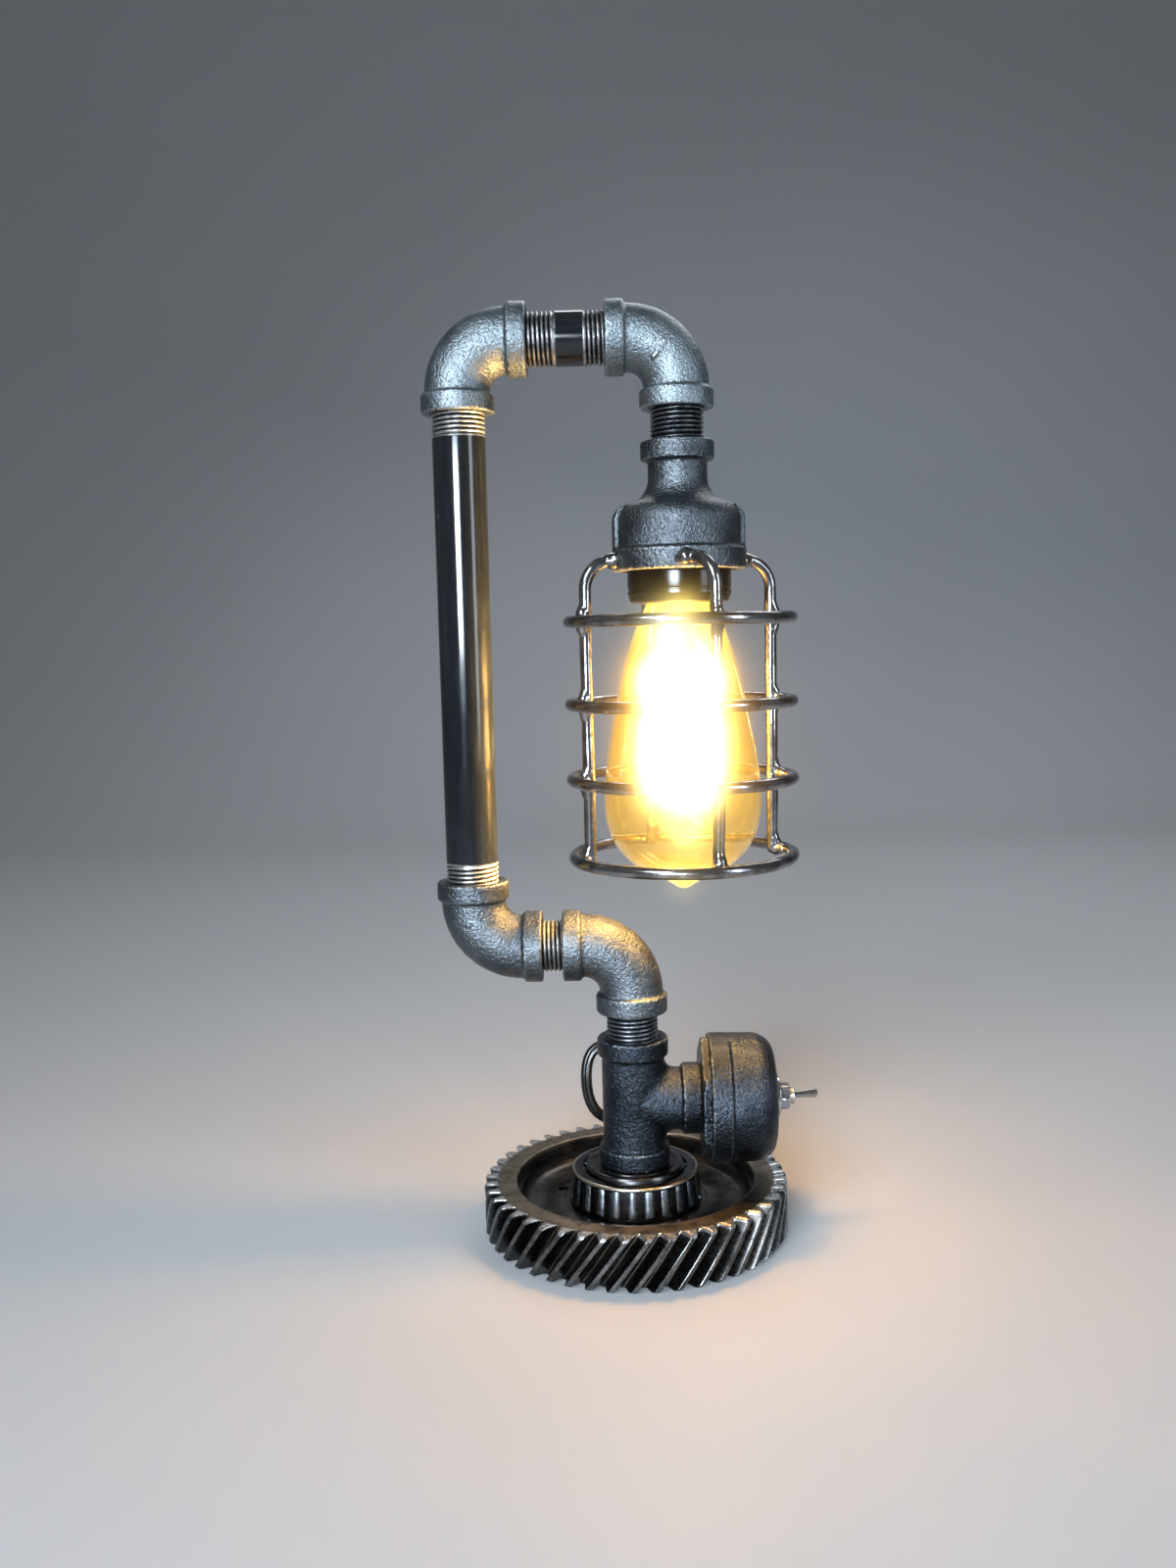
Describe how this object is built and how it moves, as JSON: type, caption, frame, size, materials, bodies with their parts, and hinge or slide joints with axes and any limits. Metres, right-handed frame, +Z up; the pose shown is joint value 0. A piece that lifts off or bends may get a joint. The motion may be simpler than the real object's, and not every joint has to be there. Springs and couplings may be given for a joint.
{
  "type": "pipe table lamp",
  "caption": "Table lamp of threaded pipe and cast fittings on a helical gear foot with a bearing, a caged long bulb hanging head down and a toggle switch in a pipe cap.",
  "frame": {"origin": "middle of the footprint box of the lamp without its cord, at the table; the gear foot's axis is at x = 0.9 mm, y = 0", "axes": "+Z up, +X along the arm from the riser to the bulb and on to the switch, +Y to the back, where the cord leaves"},
  "size_m": [0.157, 0.209, 0.3803],
  "materials": {
    "cast_iron_dark": "oiled sand casting, dark",
    "cast_iron_grey": "bare sand casting, lighter grey",
    "black_lacquer": "glossy black lacquer",
    "thread_steel": "black oiled threads with bright crests",
    "gear_steel": "oil-darkened gear steel with worn bright tooth ends",
    "zinc_steel": "zinc plated",
    "bearing_steel": "ground, oil film",
    "roller_steel": "polished",
    "bearing_cage_steel": "dark pressed steel",
    "chrome": "polished",
    "black_phenolic": "moulded, satin gloss",
    "white_ceramic": "matt",
    "brass": "stamped",
    "amber_glass": "clear amber",
    "clear_glass": "clear",
    "black_glass": "black vitrite",
    "lamp_cap": "rolled thread",
    "lead_wire": "drawn wire",
    "filament": "glowing",
    "polished_steel": "hand-polished steel wire, weld marks",
    "wire_sleeve": "PVC sleeve",
    "rubber_black": "moulded rubber",
    "cord_black": "flat twin PVC lead",
    "plug_black": "moulded",
    "plug_pin_metal": "nickel plated"
  },
  "bodies": {
    "base": {"gear_base": "gear_steel", "base_washer": "zinc_steel", "base_locknut": "zinc_steel", "base_nipple": "thread_steel", "bearing_cone": "bearing_steel", "tee": "cast_iron_dark", "column_nipple": "thread_steel", "branch_nipple": "thread_steel", "hex_bushing": "cast_iron_dark", "switch_cap": "cast_iron_dark", "switch_housing": "black_phenolic", "switch_bushing": "chrome", "switch_washer": "chrome", "switch_nut": "chrome", "switch_terminals": "brass", "wires_base": "wire_sleeve", "wires_switch": "wire_sleeve", "cord_bush": "rubber_black", "cord_lead": "cord_black", "cord_coil": "cord_black", "plug": "plug_black", "plug_pins": "plug_pin_metal"},
    "roller_cage": {"bearing_cage": "bearing_cage_steel", "bearing_rollers": "roller_steel"},
    "lever": {"switch_lever": "chrome"},
    "rocker": {"switch_rocker": "brass"},
    "frame": {"lower_elbow_right": "cast_iron_dark", "mid_nipple": "thread_steel", "lower_elbow_left": "cast_iron_dark", "riser_pipe": "black_lacquer", "top_elbow_left": "cast_iron_grey", "arm_nipple": "thread_steel", "wires_frame": "wire_sleeve"},
    "head": {"top_elbow_right": "cast_iron_grey", "head_nipple": "thread_steel", "bell_reducer": "cast_iron_dark", "socket_body": "black_phenolic", "socket_skirt": "black_phenolic", "socket_insert": "white_ceramic", "socket_shell": "brass", "socket_contact": "brass", "socket_screws": "zinc_steel", "cage_rod_right": "polished_steel", "cage_rod_back": "polished_steel", "cage_rod_left": "polished_steel", "cage_rod_front": "polished_steel", "cage_ring_1": "polished_steel", "cage_ring_2": "polished_steel", "cage_ring_3": "polished_steel", "cage_ring_4": "polished_steel", "wires_head": "wire_sleeve"},
    "bulb_foot": {"bulb_contact": "lamp_cap"},
    "bulb": {"bulb_glass": "amber_glass", "bulb_base": "lamp_cap", "bulb_insulator": "black_glass", "bulb_stem": "clear_glass", "bulb_supports": "lead_wire", "bulb_filament": "filament"}
  },
  "joints": [
    {"name": "switch_toggle", "type": "hinge", "parent": "base", "child": "lever", "pos_m": [0.0629, 0, 0.0547], "axis": [0, 0, 1], "range_deg": [-24, 0]},
    {"name": "switch_rocker_turn", "type": "hinge", "parent": "base", "child": "rocker", "pos_m": [0.0506, 0, 0.0547], "axis": [0, 0, 1], "range_deg": [0, 14]},
    {"name": "roller_spin", "type": "hinge", "parent": "base", "child": "roller_cage", "pos_m": [0.0009, 0, 0.0191], "axis": [0, 0, 1], "continuous": true},
    {"name": "frame_swing", "type": "hinge", "parent": "base", "child": "frame", "pos_m": [0.0009, 0, 0.0927], "axis": [0, 0, 1], "range_deg": [-90, 90]},
    {"name": "head_tilt", "type": "hinge", "parent": "frame", "child": "head", "pos_m": [-0.0048, 0, 0.3655], "axis": [1, 0, 0], "range_deg": [-90, 90]},
    {"name": "bulb_lift", "type": "slide", "parent": "head", "child": "bulb_foot", "axis": [0, 0, -1], "range_m": [0, 0.01815]},
    {"name": "bulb_turn", "type": "hinge", "parent": "bulb_foot", "child": "bulb", "pos_m": [0.0234, 0, 0.27], "axis": [0, 0, -1], "range_deg": [0, 1800]}
  ],
  "couplings": [
    {"joint": "switch_rocker_turn", "follows": "switch_toggle", "ratio": -0.58333},
    {"joint": "bulb_lift", "follows": "bulb_turn", "m_per_rad": 0.00057757}
  ]
}
